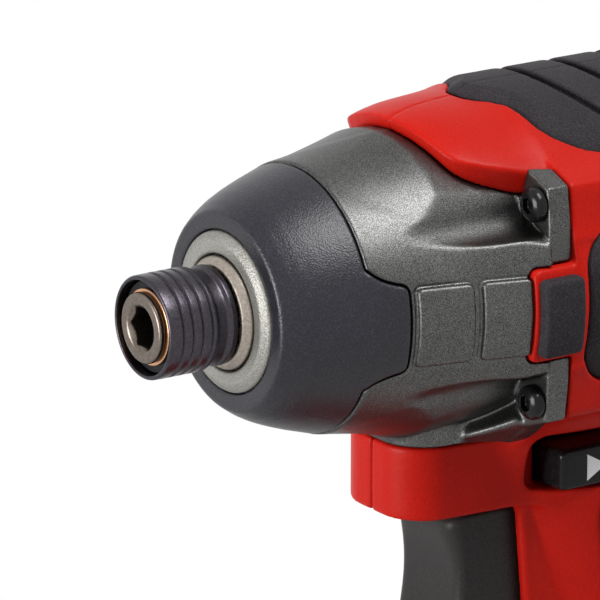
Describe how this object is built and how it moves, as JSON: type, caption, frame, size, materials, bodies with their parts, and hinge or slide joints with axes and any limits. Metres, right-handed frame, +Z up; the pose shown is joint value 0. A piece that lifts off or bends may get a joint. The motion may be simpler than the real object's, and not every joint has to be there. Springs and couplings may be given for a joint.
{
  "type": "impact driver",
  "caption": "Cordless impact driver with a grey hammer case, quick-release bit sleeve, red clamshell housing with rubber grips and a slide-on battery.",
  "frame": {"origin": "middle of the battery's underside, on the table", "axes": "+X out of the nose along the spindle, +Y to the user's left, +Z up"},
  "size_m": [0.1416, 0.074, 0.2316],
  "materials": {
    "red_plastic": "satin moulded",
    "black_rubber": "fine-grained",
    "dark_screw": "black oxide",
    "cast_grey": "speckled die-cast coating",
    "bumper_black": "fine-grained satin",
    "bronze": "sintered",
    "steel": "ground",
    "spring_steel": "drawn wire",
    "bit_steel": "warm grey, turned",
    "plate_aluminium": "die-cast",
    "lamination": "stacked sheet",
    "copper": "lacquered",
    "board_green": "lacquered board",
    "fan_plastic": "moulded",
    "sleeve_black": "black oxide, turned",
    "trigger_grey": "satin moulded",
    "slider_black": "gloss moulded",
    "light_lens": "clear moulded lens",
    "pack_black": "fine-grained moulded",
    "cell_wrap": "shrink-wrapped cell",
    "release_red": "satin moulded"
  },
  "bodies": {
    "tool": {"housing_left": "red_plastic", "housing_right": "red_plastic", "top_grip_left": "black_rubber", "top_grip_right": "black_rubber", "side_pads_left": "black_rubber", "side_pads_right": "black_rubber", "handle_grip_left": "black_rubber", "handle_grip_right": "black_rubber", "housing_screws": "dark_screw", "hammer_case": "cast_grey", "nose_bumper": "bumper_black", "case_screws": "dark_screw", "nose_seal": "black_rubber", "anvil_bush": "bronze", "thrust_washer": "steel", "ring_gear": "steel", "gearbox_plate": "plate_aluminium", "carrier_bearing": "steel", "stator_core": "lamination", "stator_windings": "copper", "sensor_board": "board_green", "motor_bearing_front": "steel", "motor_bearing_rear": "steel", "trigger_switch": "fan_plastic", "trigger_spring": "spring_steel", "control_module": "fan_plastic", "terminal_block": "copper", "work_light": "light_lens"},
    "drive": {"cam_shaft": "steel", "cam_balls": "steel", "planet_pins": "steel", "hammer_spring": "spring_steel"},
    "striker": {"hammer": "steel"},
    "output": {"anvil": "bit_steel", "lock_balls": "steel", "sleeve_washer": "steel", "retaining_ring": "copper", "sleeve_spring": "spring_steel"},
    "collar": {"chuck_sleeve": "sleeve_black"},
    "rotor": {"rotor_core": "lamination", "rotor_magnets": "lamination", "motor_shaft": "steel", "sun_pinion": "steel", "fan": "fan_plastic"},
    "planet_1": {"planet_gear_1": "steel"},
    "planet_2": {"planet_gear_2": "steel"},
    "planet_3": {"planet_gear_3": "steel"},
    "trigger": {"trigger": "trigger_grey"},
    "slider": {"direction_slider": "slider_black"},
    "battery": {"battery_base": "pack_black", "battery_top": "pack_black", "battery_cells": "cell_wrap", "battery_board": "board_green", "battery_screws": "dark_screw", "release_spring": "spring_steel"},
    "release": {"release_button": "release_red"}
  },
  "joints": [
    {"name": "drive_spin", "type": "hinge", "parent": "tool", "child": "drive", "pos_m": [0, 0, 0.2], "axis": [1, 0, 0], "continuous": true},
    {"name": "anvil_spin", "type": "hinge", "parent": "tool", "child": "output", "pos_m": [0, 0, 0.2], "axis": [1, 0, 0], "continuous": true},
    {"name": "rotor_spin", "type": "hinge", "parent": "tool", "child": "rotor", "pos_m": [0, 0, 0.2], "axis": [1, 0, 0], "continuous": true},
    {"name": "planet_spin_1", "type": "hinge", "parent": "drive", "child": "planet_1", "pos_m": [0, 0.01215, 0.2], "axis": [1, 0, 0], "continuous": true},
    {"name": "planet_spin_2", "type": "hinge", "parent": "drive", "child": "planet_2", "pos_m": [0, -0.00607, 0.21052], "axis": [1, 0, 0], "continuous": true},
    {"name": "planet_spin_3", "type": "hinge", "parent": "drive", "child": "planet_3", "pos_m": [0, -0.00607, 0.18948], "axis": [1, 0, 0], "continuous": true},
    {"name": "hammer_retract", "type": "slide", "parent": "drive", "child": "striker", "axis": [-1, 0, 0], "range_m": [0, 0.007], "stiffness_N_per_m": 9000, "springref_m": -0.002, "deforming": ["hammer_spring"]},
    {"name": "sleeve_slide", "type": "slide", "parent": "output", "child": "collar", "axis": [1, 0, 0], "range_m": [0, 0.003], "stiffness_N_per_m": 2500, "springref_m": -0.002, "deforming": ["sleeve_spring"]},
    {"name": "trigger_pull", "type": "slide", "parent": "tool", "child": "trigger", "axis": [-1, 0, 0], "range_m": [0, 0.006], "stiffness_N_per_m": 900, "springref_m": -0.004, "deforming": ["trigger_spring"]},
    {"name": "direction_slide", "type": "slide", "parent": "tool", "child": "slider", "axis": [0, 1, 0], "range_m": [-0.003, 0.003]},
    {"name": "battery_slide", "type": "slide", "parent": "tool", "child": "battery", "axis": [1, 0, 0], "range_m": [0, 0.092]},
    {"name": "release_press", "type": "slide", "parent": "battery", "child": "release", "axis": [0, 0, -1], "range_m": [0, 0.003], "stiffness_N_per_m": 1200, "springref_m": -0.003, "deforming": ["release_spring"]}
  ],
  "couplings": [
    {"joint": "anvil_spin", "follows": "drive_spin", "ratio": 1},
    {"joint": "rotor_spin", "follows": "drive_spin", "ratio": 4.5},
    {"joint": "planet_spin_1", "follows": "drive_spin", "ratio": -2.8},
    {"joint": "planet_spin_2", "follows": "drive_spin", "ratio": -2.8},
    {"joint": "planet_spin_3", "follows": "drive_spin", "ratio": -2.8}
  ]
}
